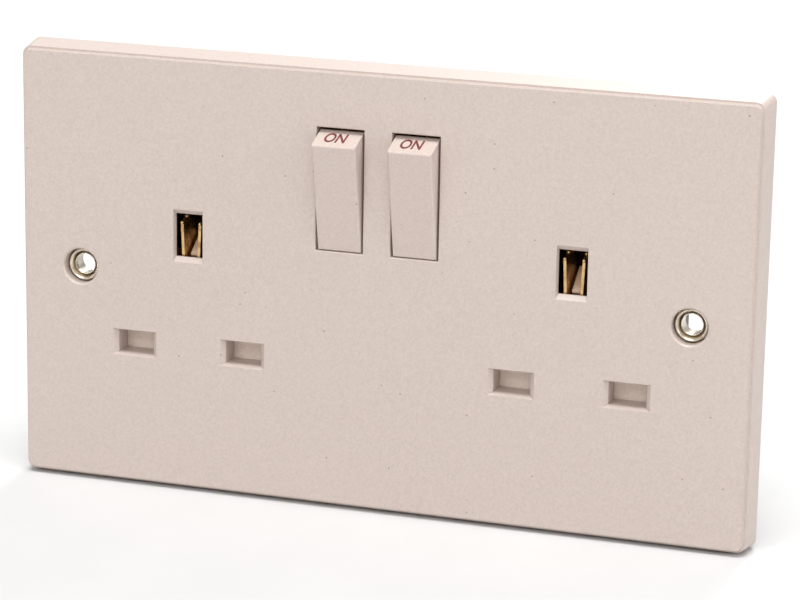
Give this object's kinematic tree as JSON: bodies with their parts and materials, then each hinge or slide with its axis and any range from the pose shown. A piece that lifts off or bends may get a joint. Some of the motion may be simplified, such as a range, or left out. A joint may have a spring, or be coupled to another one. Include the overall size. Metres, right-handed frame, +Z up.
{
  "type": "twin switched socket outlet",
  "caption": "Flush twin mains socket for three rectangular pins: cream plate, rocker switch beside each outlet, shuttered slots, dark rear housing with screw terminals.",
  "frame": {"origin": "centre of the plate on the wall plane, where the rim's back edge lies", "axes": "+X to the right seen from the front, +Y into the wall, +Z up; the front faces -Y"},
  "size_m": [0.146, 0.0315, 0.086],
  "materials": {
    "plate_cream": "moulded, slightly aged cream",
    "rocker_cream": "moulded cream",
    "shutter_cream": "moulded cream",
    "housing_dark": "moulded dark phenolic",
    "contact_brass": "pressed sheet",
    "plated_brass": "nickel plated",
    "contact_silver": "silver contact face",
    "spring_steel": "drawn wire",
    "screw_steel": "zinc plated",
    "plunger_plastic": "moulded acetal"
  },
  "bodies": {
    "socket_body": {"front_plate": "plate_cream", "rear_housing": "housing_dark", "fixed_tip_left": "contact_silver", "line_contact_left": "contact_brass", "earth_strap_left": "contact_brass", "fixing_eyelet_left": "plated_brass", "shutter_spring_left": "spring_steel", "fixed_tip_right": "contact_silver", "line_contact_right": "contact_brass", "earth_strap_right": "contact_brass", "fixing_eyelet_right": "plated_brass", "shutter_spring_right": "spring_steel", "line_feed_bar": "contact_brass", "neutral_bar": "contact_brass", "earth_bar": "contact_brass", "line_terminal": "contact_brass", "line_terminal_screw": "screw_steel", "neutral_terminal": "contact_brass", "neutral_terminal_screw": "screw_steel", "earth_terminal": "contact_brass", "earth_terminal_screw": "screw_steel", "housing_screws": "screw_steel"},
    "rocker_left": {"rocker_left": "rocker_cream", "plunger_spring_left": "spring_steel"},
    "plunger_left": {"plunger_left": "plunger_plastic"},
    "contact_arm_left": {"contact_arm_left": "contact_brass", "arm_tip_left": "contact_silver"},
    "shutter_left": {"shutter_left": "shutter_cream"},
    "rocker_right": {"rocker_right": "rocker_cream", "plunger_spring_right": "spring_steel"},
    "plunger_right": {"plunger_right": "plunger_plastic"},
    "contact_arm_right": {"contact_arm_right": "contact_brass", "arm_tip_right": "contact_silver"},
    "shutter_right": {"shutter_right": "shutter_cream"}
  },
  "joints": [
    {"name": "rocker_left_tilt", "type": "hinge", "parent": "socket_body", "child": "rocker_left", "pos_m": [-0.00742, -0.003, 0.01958], "axis": [1, 0, 0], "range_deg": [-23.4, 0]},
    {"name": "contact_arm_left_rock", "type": "hinge", "parent": "socket_body", "child": "contact_arm_left", "pos_m": [-0.00742, 0.0075, 0.01958], "axis": [1, 0, 0], "range_deg": [0, 14]},
    {"name": "plunger_left_slide", "type": "slide", "parent": "rocker_left", "child": "plunger_left", "axis": [0, 0.9792, 0.2028], "range_m": [-0.0008, 0.0003], "stiffness_N_per_m": 400, "springref_m": 0.0003, "deforming": ["plunger_spring_left"]},
    {"name": "shutter_left_slide", "type": "slide", "parent": "socket_body", "child": "shutter_left", "axis": [0, 0, -1], "range_m": [0, 0.005], "stiffness_N_per_m": 60, "springref_m": -0.004, "deforming": ["shutter_spring_left"]},
    {"name": "rocker_right_tilt", "type": "hinge", "parent": "socket_body", "child": "rocker_right", "pos_m": [0.00742, -0.003, 0.01958], "axis": [1, 0, 0], "range_deg": [-23.4, 0]},
    {"name": "contact_arm_right_rock", "type": "hinge", "parent": "socket_body", "child": "contact_arm_right", "pos_m": [0.00742, 0.0075, 0.01958], "axis": [1, 0, 0], "range_deg": [0, 14]},
    {"name": "plunger_right_slide", "type": "slide", "parent": "rocker_right", "child": "plunger_right", "axis": [0, 0.9792, 0.2028], "range_m": [-0.0008, 0.0003], "stiffness_N_per_m": 400, "springref_m": 0.0003, "deforming": ["plunger_spring_right"]},
    {"name": "shutter_right_slide", "type": "slide", "parent": "socket_body", "child": "shutter_right", "axis": [0, 0, -1], "range_m": [0, 0.005], "stiffness_N_per_m": 60, "springref_m": -0.004, "deforming": ["shutter_spring_right"]}
  ],
  "couplings": [
    {"joint": "contact_arm_left_rock", "follows": "rocker_left_tilt", "ratio": -0.59829},
    {"joint": "contact_arm_right_rock", "follows": "rocker_right_tilt", "ratio": -0.59829}
  ]
}
